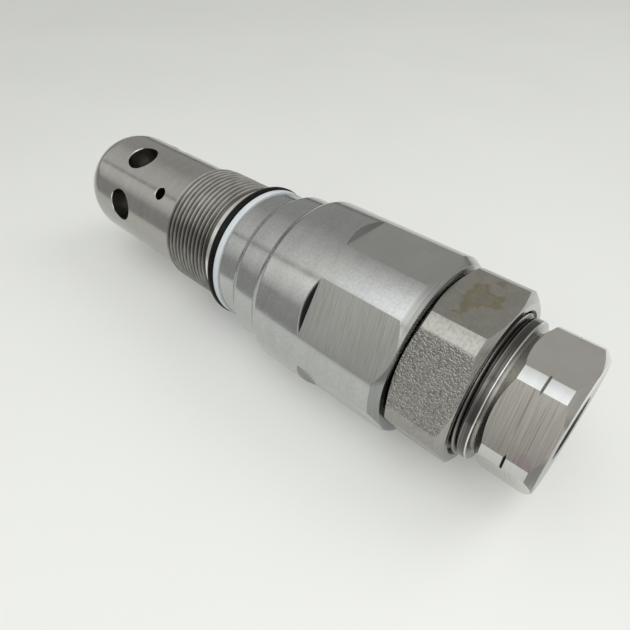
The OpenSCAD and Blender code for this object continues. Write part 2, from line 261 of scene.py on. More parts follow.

# %% [markdown]
# ## Nose sleeve
# The nose is a ground sleeve with a domed end, an inlet in the dome, six cross holes and a
# small drain hole. It is turned with its main bore already in the outline. The holes are
# drilled afterwards with exact Booleans, since each one breaks through two curved walls, and
# every drill has a short flare where it meets the surface: that is the deburred edge, which
# catches the light as a bright rim, and its finish adds a painted highlight.

# %% Nose sleeve
cross_holes = 6
cross_hole_x = -26
cross_hole_r = 4.5
cross_hole_turn = 18.5
drain_hole_x = -9.9
drain_hole_r = 1.75
drain_hole_turn = 44.7
inlet_r = 6.5
inlet_flare = 1.2
seat_x = -33
main_bore_r = 9.5
spigot_r = 12.8
dome_r = 10
sleeve_groove = (4, 6.7)
sleeve_groove_r = 11.3
cut_past = 1
flare_depth = 0.35
flare_spread = 0.61
flare_start = 0.6


def drill(name, distance, turn, radius, flare):
    """A radial drill with a flared mouth, turned about the valve's axis."""
    bm = bmesh.new()
    floor = main_bore_r - cut_past
    mouth = nose_r - flare_depth * flare
    outside = nose_r + cut_past
    wide = radius + flare_start + flare_spread * flare
    corners = ((0, floor), (radius, floor), (radius, mouth), (wide, outside), (0, outside))
    chain = [bm.verts.new((across * MM, 0.0, out * MM)) for across, out in corners]
    for start, end in zip(chain, chain[1:]):
        bm.edges.new((start, end))
    spun(bm, 64, axis=(0, 0, 1))
    bmesh.ops.translate(bm, verts=bm.verts, vec=(along(distance), 0, 0))
    bmesh.ops.rotate(bm, verts=bm.verts, cent=(0, 0, 0), matrix=Matrix.Rotation(radians(turn), 3, "X"))
    return piece(name, bm)


sleeve = piece("sleeve_shell", turned([
    (nose_end, 0), (nose_end, nose_r, dome_r), (housing_front, nose_r), (housing_front, spigot_r),
    *groove(*sleeve_groove, spigot_r, sleeve_groove_r), (sleeve_back, spigot_r, 0.3),
    (sleeve_back, main_bore_r), (seat_x, main_bore_r), (seat_x, 0)], closed=False))
drills = [drill("cross_drill", cross_hole_x, cross_hole_turn + k * 360 / cross_holes, cross_hole_r, 0.8)
          for k in range(cross_holes)]
drills.append(drill("drain_drill", drain_hole_x, drain_hole_turn, drain_hole_r, 0.7))
drills.append(piece("inlet_drill", turned([
    (nose_end - cut_past, 0), (nose_end - cut_past, inlet_r + inlet_flare + cut_past),
    (nose_end + inlet_flare, inlet_r, 0.3), (seat_x + cut_past, inlet_r), (seat_x + cut_past, 0)],
    closed=False, steps=96)))
joined_with(sleeve, drills, "DIFFERENCE")
smooth(sleeve)

# %% [markdown]
# ## Housing
# The housing is one turned bar: thread, relief, seal groove, two stepped lands with tapered
# lead-ins, and the body. Its outline is drawn once, bores included. The thread is a helix
# added to it, and the six spanner flats are milled with wedges whose front end slopes at 45
# degrees, as the side of the cutter leaves it.

# %% Housing
seal_groove_r = 15.75
seal_groove_front = 17.1
seal_groove_back = 21.65
seal_land_r = 17.35
second_land_x = 27.7
second_land_r = 19.3
body_x = 36.5
lead_in = 2.0
lead_in_rise = lead_in * tan(radians(30))
flats_x = 51.9
end_chamfer_x = 71.2
end_r = body_r - (housing_back - end_chamfer_x) * tan(radians(30))
core_r = thread_r - thread_depth - 0.05
thread_end = 14.3
relief_front = 15.0
relief_back = 16.9
relief_r = thread_r - 0.25
sleeve_seat_x = 16
stem_bore_r = 9
chamber_x = 46
chamber_r = 13.5
screw_bore_x = 58
screw_bore_r = 16.1
screw_mouth_x = 72.7
screw_mouth_r = 16.7
helix_front = housing_front + 0.35
helix_back = 14.6
helix_inner_r = 14.2
housing = piece("housing_shell", turned([
    (housing_front, spigot_r), (housing_front, core_r), (thread_end, core_r),
    (relief_front, relief_r, 0.12), (relief_back, relief_r, 0.12),
    (seal_groove_front, seal_groove_r), (seal_groove_back, seal_groove_r),
    (seal_groove_back, seal_land_r, 0.2), (second_land_x, seal_land_r),
    (second_land_x, second_land_r - lead_in_rise, 0.12), (second_land_x + lead_in, second_land_r, 0.3),
    (body_x, second_land_r), (body_x, body_r - lead_in_rise, 0.12), (body_x + lead_in, body_r, 0.3),
    (end_chamfer_x, body_r, 0.1), (housing_back, end_r, 0.1), (housing_back, screw_mouth_r),
    (screw_mouth_x, screw_bore_r), (screw_bore_x, screw_bore_r), (screw_bore_x, chamber_r),
    (chamber_x, chamber_r), (chamber_x, stem_bore_r), (sleeve_seat_x, stem_bore_r),
    (sleeve_seat_x, spigot_r)]))


def milling_wedge(turn):
    """What one pass of the milling cutter takes away from the body."""
    bm = bmesh.new()
    flat = body_across_flats / 2
    deep = 8
    outline = ((flats_x, flat), (flats_x - deep, flat + deep),
               (housing_back + 1, flat + deep), (housing_back + 1, flat))
    corners = [bm.verts.new((along(x), -body_r * MM, r * MM)) for x, r in outline]
    side = bm.faces.new(corners)
    pushed = bmesh.ops.extrude_face_region(bm, geom=[side])["geom"]
    moved = [v for v in pushed if isinstance(v, bmesh.types.BMVert)]
    bmesh.ops.translate(bm, verts=moved, vec=(0, 2 * body_r * MM, 0))
    bmesh.ops.recalc_face_normals(bm, faces=bm.faces)
    bmesh.ops.rotate(bm, verts=bm.verts, cent=(0, 0, 0), matrix=Matrix.Rotation(radians(turn), 3, "X"))
    return piece("milling_wedge", bm)


manifold_thread = piece("manifold_thread", helix(helix_front, helix_back, thread_r, helix_inner_r))
joined_with(housing, [manifold_thread], "UNION")
joined_with(housing, [milling_wedge(60 * k) for k in range(6)], "DIFFERENCE")
smooth(housing)

# %% [markdown]
# ## Seals
# The O-ring is a torus: a circle spun about the axis. It sits in the front of the groove and
# stands proud, because the valve is out of its cavity. The backup ring behind it is a flat
# ring with slightly rounded corners.

# %% Seals
seal_angle = 40
seal_x = 17.4
seal_cord = 2.4
backup_width = 1.7
backup_r = seal_land_r + 0.45


def rubber_ring(name, front, cord, inner_r):
    """A round cord closed into a ring."""
    bm = bmesh.new()
    place = Matrix.Translation((along(front + cord / 2), 0, (inner_r + cord / 2) * MM))
    upright = Matrix.Rotation(pi / 2, 4, "X")
    bmesh.ops.create_circle(bm, cap_ends=False, segments=32, radius=cord / 2 * MM, matrix=place @ upright)
    return piece(name, spun(bm, round_steps))


o_ring = rubber_ring("housing_o_ring_cord", seal_x, seal_cord, seal_groove_r)
backup_front = seal_x + seal_cord
backup = piece("housing_backup_band", turned([
    (backup_front, seal_groove_r), (backup_front, backup_r, 0.2),
    (backup_front + backup_width, backup_r, 0.2), (backup_front + backup_width, seal_groove_r)]))
for made in (o_ring, backup):
    smooth(made, seal_angle)

# %% [markdown]
# ## Hexagons
# A hexagon on a turned blank is made the way a machinist makes it: the blank is turned first,
# chamfers included, and six planes then cut the flats. Where a flat meets a chamfer the edge
# is an arc, which no hexagonal prism has. Each cut opens the solid, so its rim is filled with
# one flat face straight away.

# %% Hexagon helper
def cut_flats(bm, across_flats, turn, start):
    """Six flats on everything beyond start."""
    for k in range(6):
        angle = radians(turn + 60 * k)
        outward = Vector((0, -sin(angle), cos(angle)))
        part = [face for face in bm.faces if face.calc_center_median().x > along(start)]
        edges = {edge for face in part for edge in face.edges}
        verts = {vert for face in part for vert in face.verts}
        cut = bmesh.ops.bisect_plane(bm, geom=list(verts) + list(edges) + part,
                                     plane_co=outward * across_flats / 2 * MM, plane_no=outward,
                                     clear_outer=True)
        rim = [edge for edge in cut["geom_cut"] if isinstance(edge, bmesh.types.BMEdge)]
        bmesh.ops.edgeloop_fill(bm, edges=rim)
    bmesh.ops.recalc_face_normals(bm, faces=bm.faces)

# %% [markdown]
# ## Lock nut
# The nut is a plain hexagon nut with 30 degree chamfers at both ends and narrow turned lands
# on its corners. It stands a few degrees round from the housing's flats.

# %% Lock nut
nut_land = 74.75
nut_land_end = nut_back - 1.2
nut_slope = tan(radians(60))
nut_front_r = nut_r - (nut_land - nut_front) * nut_slope
nut_back_r = nut_r - (nut_back - nut_land_end) * nut_slope
nut_bore_r = 16.1
nut_lead = 0.6
nut_shape = turned([
    (nut_front, nut_bore_r + nut_lead), (nut_front, nut_front_r), (nut_land, nut_r), (nut_land_end, nut_r),
    (nut_back, nut_back_r), (nut_back, nut_bore_r + nut_lead), (nut_back - nut_lead, nut_bore_r),
    (nut_front + nut_lead, nut_bore_r)])
cut_flats(nut_shape, nut_across_flats, nut_turn, nut_front)
nut = piece("lock_nut_shell", nut_shape)
ease_edges(nut, 0.1)
smooth(nut)

# %% [markdown]
# ## Adjusting plug
# The plug ends in a small hexagon with a scribed groove round its corners, a cone and a neck
# on its inner side, and a short collar where the thread stops. The port in its end is
# countersunk. The thread is a helix again, joined to the turned blank.

# %% Adjusting plug
collar_r = 15.7
neck_r = 13.4
neck_start = 90.3
neck_end = 90.7
plug_hex_x = 92.6
mark_x = 97.05
plug_hex_end = 101.4
port_r = 5.9
port_floor = 91
port_countersink = 1
feed_r = 2.5
piston_bore_x = 74
piston_bore_r = 8
ring_groove = (63.4, 62.2)
ring_groove_r = 8.6
spigot_end = 61.4
plug_spigot_r = 13.47
plug_lead = 0.4
plug_groove = (51.2, 54.6)
plug_groove_r = 11.47
collar_x = 88.4
collar_end = 90.2
mark_half_width = 0.25
mark_depth = 0.3
screw_front = 61.9
screw_back = 88.1
screw_inner_r = 14.4
plug_core_r = screw_r - thread_depth - 0.06
plug_end_r = plug_r - (plug_back - plug_hex_end)
plug_shape = turned([
    (plug_front, piston_bore_r + plug_lead), (plug_front, plug_spigot_r - plug_lead),
    (plug_front + plug_lead, plug_spigot_r), *groove(*plug_groove, plug_spigot_r, plug_groove_r),
    (spigot_end, plug_spigot_r), (spigot_end, plug_core_r),
    (collar_x - 0.15, plug_core_r), (collar_x, collar_r, 0.15), (collar_end, collar_r, 0.25),
    (neck_start, neck_r), (neck_end, neck_r, 0.2), (plug_hex_x, plug_r),
    (mark_x - mark_half_width, plug_r), (mark_x, plug_r - mark_depth), (mark_x + mark_half_width, plug_r),
    (plug_hex_end, plug_r), (plug_back, plug_end_r), (plug_back, port_r + port_countersink),
    (plug_back - port_countersink, port_r), (port_floor, port_r), (port_floor, feed_r),
    (piston_bore_x, feed_r), (piston_bore_x, piston_bore_r),
    *groove(*ring_groove, piston_bore_r, ring_groove_r), (plug_front + plug_lead, piston_bore_r)])
cut_flats(plug_shape, plug_across_flats, plug_turn, neck_start)
plug = piece("adjusting_plug_shell", plug_shape)
plug_thread = piece("plug_thread", helix(screw_front, screw_back, screw_r, screw_inner_r, steps=128))
joined_with(plug, [plug_thread], "UNION")
smooth(plug)

# %% [markdown]
# ## Main poppet
# The poppet shows through the cross holes and down the inlet, so it is turned again with a
# rounded skirt and a clean seating cone. It slides in the sleeve's bore.

# %% Main poppet
poppet_front = distance_of(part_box("main_poppet")[0].x)
poppet_back = distance_of(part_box("main_poppet")[1].x)
poppet_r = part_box("main_poppet")[1].z / MM
seat_r = 6.48
cone_half = 1.5
skirt_x = -27.8
poppet_floor_x = -28
poppet_bore_r = 6.7
poppet_feed_r = 0.6
poppet = piece("main_poppet_shell", turned([
    (poppet_front, poppet_feed_r), (poppet_front, seat_r - cone_half, 0.3),
    (poppet_front + 2 * cone_half, seat_r + cone_half, 0.4), (skirt_x - 1, seat_r + cone_half, 0.3),
    (skirt_x, poppet_r, 0.25), (poppet_back, poppet_r, 0.3), (poppet_back, poppet_bore_r),
    (poppet_floor_x, poppet_bore_r), (poppet_floor_x, poppet_feed_r)]))
smooth(poppet)

# %% [markdown]
# ## Finishes
# Steel looks different on every face of this valve, because each face was finished with a
# different tool. All finishes share one bare recipe, a shader with a base colour, a roughness
# and a share of metal, and then get their own marks from noise that is stretched along the
# tool's path. Patterns are read from object coordinates in millimetres, so they sit still on
# the part, and a stretch of 4 gives about four lines to the millimetre.

# %% Finish helpers
# Heights in mm between which an underside is painted darker: painted shade.
underside_shade_low = 3
underside_shade_high = 12


def new_finish(name, colour, roughness, metallic=1.0):
    """A material with one shader. Values that are the same all over go straight on its sockets."""
    material = bpy.data.materials.new(name)
    material.use_nodes = True
    tree = material.node_tree
    shader = tree.nodes["Principled BSDF"]
    shader.inputs["Base Color"].default_value = (*colour, 1)
    shader.inputs["Roughness"].default_value = roughness
    shader.inputs["Metallic"].default_value = metallic
    return material, tree, shader


def pattern_space(tree, stretch=(1, 1, 1), turn=(0, 0, 0), centre=(0, 0, 0)):
    """Object coordinates in millimetres round a centre, turned, then squeezed by the stretch."""
    space = tree.nodes.new("ShaderNodeTexCoord").outputs["Object"]
    for values in ({"Location": [-value for value in centre], "Scale": (1 / MM, 1 / MM, 1 / MM)},
                   {"Rotation": [radians(value) for value in turn]}, {"Scale": stretch}):
        step = tree.nodes.new("ShaderNodeMapping")
        for socket_name, value in values.items():
            step.inputs[socket_name].default_value = value
        tree.links.new(space, step.inputs["Vector"])
        space = step.outputs["Vector"]
    return space


def noise(tree, stretch=(1, 1, 1), turn=(0, 0, 0), scale=1.0, detail=3.0, roughness=0.5):
    """Soft noise between 0 and 1, stretched and turned."""
    made = tree.nodes.new("ShaderNodeTexNoise")
    made.inputs["Scale"].default_value = scale
    made.inputs["Detail"].default_value = detail
    made.inputs["Roughness"].default_value = roughness
    tree.links.new(pattern_space(tree, stretch, turn), made.inputs["Vector"])
    return made.outputs["Fac"]


def ramp(tree, value, *stops):
    """A value turned into a colour or a grey. Each stop is a place and a colour or a grey."""
    made = tree.nodes.new("ShaderNodeValToRGB")
    points = made.color_ramp.elements
    while len(points) < len(stops):
        points.new(0.5)
    for point, (place, colour) in zip(points, stops):
        point.position = place
        point.color = (*colour, 1) if isinstance(colour, tuple) else (colour, colour, colour, 1)
    tree.links.new(value, made.inputs["Fac"])
    return made.outputs["Color"]


def mixed(tree, amount, low, high, blend="MIX"):
    """Two colours mixed. The amount and each colour may be a plain value or another node's output."""
    made = tree.nodes.new("ShaderNodeMix")
    made.data_type = "RGBA"
    made.blend_type = blend
    for socket, value in ((made.inputs[0], amount), (made.inputs[6], low), (made.inputs[7], high)):
        if isinstance(value, bpy.types.NodeSocket):
            tree.links.new(value, socket)
        else:
            socket.default_value = (*value, 1) if isinstance(value, tuple) else value
    return made.outputs[2]


def shaded(tree, tone, pattern, *stops):
    """A colour darkened by a pattern: the ramp's greys are the shares that stay."""
    return mixed(tree, 1.0, tone, ramp(tree, pattern, *stops), "MULTIPLY")


def varied(tree, colour, contrast, amount):
    """A colour made darker where the amount is 0 and lighter where it is 1."""
    dark = tuple(value * (1 - contrast) for value in colour)
    light = tuple(min(1, value * (1 + contrast)) for value in colour)
    return mixed(tree, amount, dark, light)


def between(tree, value, low, high):
    """A value's place between a low and a high one, from 0 to 1."""
    made = tree.nodes.new("ShaderNodeMapRange")
    made.inputs["From Min"].default_value = low
    made.inputs["From Max"].default_value = high
    tree.links.new(value, made.inputs["Value"])
    return made.outputs["Result"]


def length_of(tree, vector):
    """The length of a vector."""
    made = tree.nodes.new("ShaderNodeVectorMath")
    made.operation = "LENGTH"
    tree.links.new(vector, made.inputs[0])
    return made.outputs["Value"]


def finished(tree, shader, tone=None, rough=None):
    """Lay a pattern on the shader's colour, on its roughness or on both."""
    for value, socket_name in ((tone, "Base Color"), (rough, "Roughness")):
        if value is not None:
            tree.links.new(value, shader.inputs[socket_name])


def relief(tree, shader, height, depth):
    """Press a pattern into the surface, to a depth in millimetres."""
    made = tree.nodes.new("ShaderNodeBump")
    made.inputs["Strength"].default_value = 1.0
    made.inputs["Distance"].default_value = depth * MM
    tree.links.new(height, made.inputs["Height"])
    tree.links.new(made.outputs["Normal"], shader.inputs["Normal"])


def radius_from_axis(tree):
    """How far a point is from the valve's axis, in millimetres."""
    return length_of(tree, pattern_space(tree, stretch=(0, 1, 1)))


def toned_by_height(tree, tone, shares):
    """A colour times a share that changes with height: pairs of height in millimetres and share."""
    parts = tree.nodes.new("ShaderNodeSeparateXYZ")
    tree.links.new(pattern_space(tree), parts.inputs["Vector"])
    lowest = shares[0][0]
    highest = shares[-1][0]
    stops = [((level - lowest) / (highest - lowest), share) for level, share in shares]
    return shaded(tree, tone, between(tree, parts.outputs["Z"], lowest, highest), *stops)


def painted_underside_shade(low_share, high_share=1.0):
    """Shares by height for a face painted darker towards its underside: painted shade."""
    return ((underside_shade_low, low_share), (underside_shade_high, high_share))


def spot(tree, centre, size, edge_noise=0.5):
    """A soft blot round a centre, 1 inside and 0 outside, with a wandering edge."""
    away = length_of(tree, pattern_space(tree, stretch=[1 / value for value in size], centre=centre))
    wander = noise(tree, scale=0.35, detail=4)
    shifted = tree.nodes.new("ShaderNodeMath")
    shifted.operation = "MULTIPLY_ADD"
    shifted.inputs[1].default_value = edge_noise * 2
    tree.links.new(wander, shifted.inputs[0])
    tree.links.new(away, shifted.inputs[2])
    return ramp(tree, shifted.outputs["Value"], (0.75, 1.0), (1.0, 0.0))

# %% [markdown]
# ## Turned and ground steel
# A lathe tool leaves fine rings, and grinding leaves even finer ones. Noise that is squeezed
# along X and stretched the other two ways gives rings round the axis wherever it is used on
# a turned face. A few longer, broader bands change the tone a little, fine grain dulls the
# ground faces, and thin scratches in several directions come from handling. Some finishes also
# change with height: the underside is painted darker as shade, and the round body carries a
# painted highlight, a bright band with duller steel above and below it.

# %% Turned steel
def scratches(tree, turn, spacing, keep=0.74):
    """Sparse thin lines along one direction: stretched noise with only its peaks kept."""
    lines = noise(tree, (1 / spacing, 0.05, 0.05), turn, detail=2, roughness=0.4)
    return ramp(tree, lines, (keep, 0.0), (keep + 0.04, 1.0))


def turned_steel(name, colour, roughness, ring_tone=0.06, ring_depth=0.0006, scratch_tone=0.12,
                 shares=None, grain=0.0):
    """Steel off the lathe: rings round the axis, broad soft bands, fine grain and a few scratches."""
    material, tree, shader = new_finish(name, colour, roughness)
    rings = noise(tree, (7, 0.05, 0.05))
    bands = noise(tree, (0.5, 0.12, 0.12), detail=4)
    tone = varied(tree, colour, ring_tone, ramp(tree, rings, (0.3, 0.0), (0.7, 1.0)))
    cloud = shaded(tree, tone, bands, (0.3, 0.92), (0.7, 1.0))
    slanted = scratches(tree, (0, 0, 35), 0.35)
    crossed = scratches(tree, (0, 50, 80), 0.3)
    marks = mixed(tree, 1.0, slanted, crossed, "LIGHTEN")
    bright = tuple(min(1, value * (1 + 2 * scratch_tone)) for value in colour)
    worn = mixed(tree, ramp(tree, marks, (0.0, 0.0), (1.0, scratch_tone * 4)), cloud, bright)
    if grain:
        specks = noise(tree, scale=1.9, detail=2)
        worn = shaded(tree, worn, specks, (0.3, 1 - grain), (0.7, 1.0))
    if shares:
        worn = toned_by_height(tree, worn, shares)
    finished(tree, shader, worn, ramp(tree, bands, (0.25, roughness * 0.88), (0.75, roughness * 1.12)))
    relief(tree, shader, rings, ring_depth)
    return material


satin_lands = turned_steel("satin_lands", (0.56, 0.57, 0.56), 0.17, ring_tone=0.035, ring_depth=0.0002,
                           scratch_tone=0.06, grain=0.14)
# Painted highlight: the round body is brightest between 11 and 14.5 mm high and duller above and below.
painted_highlight_band = ((6, 0.80), (9.5, 0.90), (11, 1.0), (14.5, 1.0), (17.5, 0.84), (20, 0.82))
satin_body = turned_steel("satin_body", (0.68, 0.69, 0.68), 0.17, ring_tone=0.035, ring_depth=0.0002,
                          scratch_tone=0.06, shares=painted_highlight_band, grain=0.14)
ground_nose = turned_steel("ground_nose", (0.54, 0.525, 0.495), 0.17, ring_tone=0.02, ring_depth=0.0001,
                           scratch_tone=0.02, shares=painted_underside_shade(0.86), grain=0.10)
end_chamfers = turned_steel("end_chamfers", (0.56, 0.57, 0.56), 0.2, ring_tone=0.16, ring_depth=0.001,
                            shares=painted_underside_shade(0.58, 0.96))
bright_plug = turned_steel("bright_plug", (0.60, 0.60, 0.585), 0.14, ring_tone=0.03, ring_depth=0.0002)
streaked_collar = turned_steel("streaked_collar", (0.13, 0.125, 0.118), 0.2, ring_tone=0.7,
                               ring_depth=0.003, scratch_tone=0.5)
streaked_neck = turned_steel("streaked_neck", (0.50, 0.49, 0.46), 0.24, ring_tone=0.3, ring_depth=0.002)
# Painted light and shade: the plug's chamfers are painted bright and much darker towards their underside.
plug_chamfers = turned_steel("plug_chamfers", (0.80, 0.79, 0.76), 0.18, ring_tone=0.06, ring_depth=0.0004,
                             shares=painted_underside_shade(0.26))
light_shoulder = turned_steel("light_shoulder", (0.34, 0.34, 0.33), 0.3, ring_tone=0.3)
# Painted light and shade: faces of the scribed groove that face up are lit grey, the others near black.
painted_lit_mark = turned_steel("painted_lit_mark", (0.42, 0.42, 0.41), 0.25, ring_tone=0.3)
painted_shade_mark = turned_steel("painted_shade_mark", (0.09, 0.09, 0.09), 0.3, ring_tone=0.2)
# Painted shade: bores and the walls inside the drilled holes are painted dark.
painted_shade_bore = turned_steel("painted_shade_bore", (0.11, 0.105, 0.10), 0.38, ring_tone=0.1)
# Painted highlight: a near-white steel for deburred edges, hole rims, the relief band and the collar's edge.
painted_highlight_steel = turned_steel("painted_highlight_steel", (0.85, 0.84, 0.81), 0.22, ring_tone=0.02)
painted_shade_drilled_wall = turned_steel("painted_shade_drilled_wall", (0.25, 0.245, 0.23), 0.3, ring_tone=0.2)
hardened = turned_steel("hardened_poppet", (0.46, 0.45, 0.43), 0.3, ring_tone=0.06)


glint_width = 0.5


def shoulder_with_painted_light(name):
    """The step at the end of a flat, painted black as shade, with a painted highlight along its outer arc.
    """
    material, tree, shader = new_finish(name, (0.03, 0.03, 0.03), 0.3)
    edge = between(tree, radius_from_axis(tree), body_r - glint_width, body_r)
    finished(tree, shader, ramp(tree, edge, (0.0, 0.03), (0.45, 0.08), (0.9, (0.75, 0.75, 0.74))))
    return material


painted_shade_shoulder = shoulder_with_painted_light("painted_shade_shoulder")

# %% [markdown]
# ## Thread finish
# A cut thread is painted dark in its roots, as shade with some dirt, and painted bright on its
# crests, as a highlight where it also rubs. Both follow from the distance to the axis, so the
# colour is read from the radius with some noise over it. The underside is painted darker, as shade.

# %% Thread steel
def thread_steel(name, crest_r, root_shade_colour, crest_highlight_colour, roughness, shares):
    """Painted shade in the roots and a painted highlight on the crests, told apart by radius."""
    material, tree, shader = new_finish(name, root_shade_colour, roughness)
    height = between(tree, radius_from_axis(tree), crest_r - thread_depth, crest_r)
    grime = noise(tree, (0.8, 0.3, 0.3), detail=4)
    flank = tuple(0.70 * low + 0.30 * high for low, high in zip(root_shade_colour, crest_highlight_colour))
    tone = ramp(tree, height, (0.0, root_shade_colour), (0.6, flank), (0.97, crest_highlight_colour))
    dirty = shaded(tree, tone, grime, (0.3, 0.7), (0.65, 1.0))
    rough = ramp(tree, grime, (0.3, roughness * 1.25), (0.7, roughness * 0.85))
    finished(tree, shader, toned_by_height(tree, dirty, shares), rough)
    drag = noise(tree, (9, 0.2, 0.2))
    relief(tree, shader, drag, 0.003)
    return material


# Painted light and shade: near-white crests, and the thread is painted darker towards its underside.
manifold_steel = thread_steel("manifold_thread_steel", thread_r, (0.22, 0.205, 0.185),
                              (0.95, 0.93, 0.88), 0.32, shares=((8, 0.40), (15.5, 1.0)))
screw_steel = thread_steel("screw_thread_steel", screw_r, (0.10, 0.095, 0.09), (0.55, 0.54, 0.52), 0.30,
                           shares=painted_underside_shade(0.8))

# %% [markdown]
# ## Milled flats
# The side of a milling cutter leaves straight lines across the flat, nearly square to the
# axis. Fine lines make the sheen and a few deep ones read as single marks. Both are the same
# stretched noise, at two spacings, with a small turn so that the lines lean as the real ones
# do. The flats that lie level have hardly any lines, the plug's level flats are painted
# brighter as a lit copy, and one flat of the plug has a faint tint of oil.

# %% Milled steel
def milled_steel(name, colour, roughness, lean, contrast=0.10, deep_lines=0.25, line=0.06, per_mm=4.0,
                 tint=None):
    """Straight cutter lines across a flat: a smaller line is longer. Tint is a spot and its colour."""
    material, tree, shader = new_finish(name, colour, roughness)
    front = Vector((0, -sin(pi / 3), cos(pi / 3)))
    turn = [degrees(value) for value in Matrix.Rotation(radians(lean), 3, front).to_euler()]
    fine = noise(tree, (per_mm, line, line), turn, detail=4, roughness=0.6)
    deep = noise(tree, (2.2, 0.045, 0.045), turn, detail=2)
    soft = noise(tree, (0.12, 0.12, 0.12))
    tone = varied(tree, colour, contrast, ramp(tree, fine, (0.3, 0.0), (0.7, 1.0)))
    lined = shaded(tree, tone, deep, (0.30, 1 - deep_lines), (0.38, 1.0))
    clouded = shaded(tree, lined, soft, (0.35, 0.94), (0.65, 1.0))
    if tint:
        clouded = mixed(tree, tint[0](tree), clouded, tint[1], "MULTIPLY")
    finished(tree, shader, clouded, ramp(tree, fine, (0.3, roughness * 1.1), (0.7, roughness * 0.9)))
    relief(tree, shader, fine, 0.0022)
    return material


def oil_tint(tree):
    """A faint blot low on the flat that faces sideways and up."""
    return spot(tree, (along(100.3) / MM, -15.8, 1.4), (4, 4, 4), 0.4)


milled_body = milled_steel("milled_body", (0.56, 0.56, 0.535), 0.22, lean=-8, contrast=0.15, deep_lines=0.12,
                           line=0.18, per_mm=5.0)
milled_plug = milled_steel("milled_plug", (0.585, 0.56, 0.515), 0.2, lean=-3, contrast=0.19, deep_lines=0.28,
                           line=0.1, per_mm=5.5, tint=(oil_tint, (0.97, 0.86, 0.94)))
smooth_flat_body = milled_steel("smooth_flat_body", (0.56, 0.565, 0.54), 0.24, lean=0, contrast=0.03,
                                deep_lines=0.0)
# Painted light: the plug's flats that face straight up or down are a brighter copy of its milled steel.
lit_smooth_flat_plug = milled_steel("lit_smooth_flat_plug", (0.76, 0.74, 0.69), 0.2, lean=0, contrast=0.02,
                                deep_lines=0.0)

# %% [markdown]
# ## Cold-formed nut
# The nut's flats were never machined: they keep the pebbled skin of the forging, which is
# rounded bumps about half a millimetre across. Noise pressed through a soft ramp gives bumps
# with flat tops, and a slower noise shifts the tone. One flat carries a brown stain of old oil.

# %% Nut steel
old_oil = (0.82, 0.735, 0.54)


def pebbled_steel(name, colour, roughness, depth, contrast, stained):
    """Forging skin, with an optional brown stain on the upper flat."""
    material, tree, shader = new_finish(name, colour, roughness)
    bumps = noise(tree, scale=2.1, detail=2)
    waves = noise(tree, scale=0.5, detail=2)
    skin = ramp(tree, bumps, (0.36, 0.0), (0.60, 1.0))
    tone = shaded(tree, varied(tree, colour, contrast, skin), waves, (0.3, 0.9), (0.7, 1.0))
    if stained:
        blot = spot(tree, (along(79.6) / MM, -0.6, 18.4), (8.4, 14.0, 8.0), 0.6)
        amount = ramp(tree, blot, (0.0, 0.0), (0.5, 0.9), (1.0, 0.6))
        tone = mixed(tree, amount, tone, old_oil, "MULTIPLY")
    finished(tree, shader, tone, ramp(tree, bumps, (0.3, roughness * 1.15), (0.7, roughness * 0.85)))
    relief(tree, shader, skin, depth)
    return material


def grainy_steel(name, colour, roughness):
    """A turned land over forging skin: rings with small pits left in them."""
    material, tree, shader = new_finish(name, colour, roughness)
    pits = noise(tree, scale=1.6)
    rings = noise(tree, (4, 0.1, 0.1), detail=2)
    dark = tuple(value * 0.8 for value in colour)
    pitted = mixed(tree, ramp(tree, pits, (0.32, 1.0), (0.55, 0.0)), colour, dark)
    ringed = shaded(tree, pitted, rings, (0.35, 0.9), (0.6, 1.0))
    finished(tree, shader, toned_by_height(tree, ringed, painted_underside_shade(0.8)))
    relief(tree, shader, pits, 0.006)
    return material


pebbled_nut = pebbled_steel("pebbled_nut", (0.41, 0.40, 0.37), 0.18, 0.07, contrast=0.17, stained=False)
stained_nut = pebbled_steel("stained_nut", (0.475, 0.46, 0.415), 0.24, 0.002, contrast=0.05, stained=True)
nut_lands = grainy_steel("nut_lands", (0.47, 0.46, 0.42), 0.24)
nut_chamfers = turned_steel("nut_chamfers", (0.52, 0.51, 0.48), 0.22, ring_tone=0.12, ring_depth=0.0006,
                            shares=painted_underside_shade(0.7))

# %% [markdown]
# ## Rubber and PTFE
# The O-ring is black nitrile with a wet gloss from assembly oil: a dark base, low roughness
# and a slight waviness that breaks its highlight into dashes. The backup ring is smooth white
# PTFE, a little blue, with faint turning lines on its face.

# %% Seal materials
def oiled_rubber(name):
    """Black rubber with an oily sheen."""
    material, tree, shader = new_finish(name, (0.012, 0.012, 0.013), 0.22, metallic=0.0)
    shader.inputs["Specular IOR Level"].default_value = 0.09
    film = noise(tree, (1.2, 0.5, 0.5))
    finished(tree, shader, ramp(tree, film, (0.3, 0.004), (0.7, 0.010)),
             ramp(tree, film, (0.35, 0.08), (0.65, 0.34)))
    relief(tree, shader, film, 0.03)
    return material


def turned_ptfe(name):
    """White fluoroplastic with faint rings and a cool cast."""
    material, tree, shader = new_finish(name, (0.53, 0.56, 0.58), 0.38, metallic=0.0)
    cloud = noise(tree, (0.3, 0.3, 0.3), detail=2)
    finished(tree, shader, ramp(tree, cloud, (0.3, (0.50, 0.53, 0.55)), (0.7, (0.55, 0.58, 0.60))))
    rings = noise(tree, (8, 0.1, 0.1), detail=2)
    relief(tree, shader, rings, 0.001)
    return material


def oil_tempered_wire(name):
    """Dark blue-grey spring wire with drawing lines."""
    material, tree, shader = new_finish(name, (0.16, 0.16, 0.17), 0.36)
    film = noise(tree, scale=1.2, detail=4)
    finished(tree, shader, ramp(tree, film, (0.3, (0.12, 0.12, 0.13)), (0.7, (0.22, 0.21, 0.20))))
    relief(tree, shader, film, 0.004)
    return material


nitrile = oiled_rubber("oiled_nitrile")
ptfe = turned_ptfe("turned_ptfe")
spring_wire = oil_tempered_wire("spring_wire")

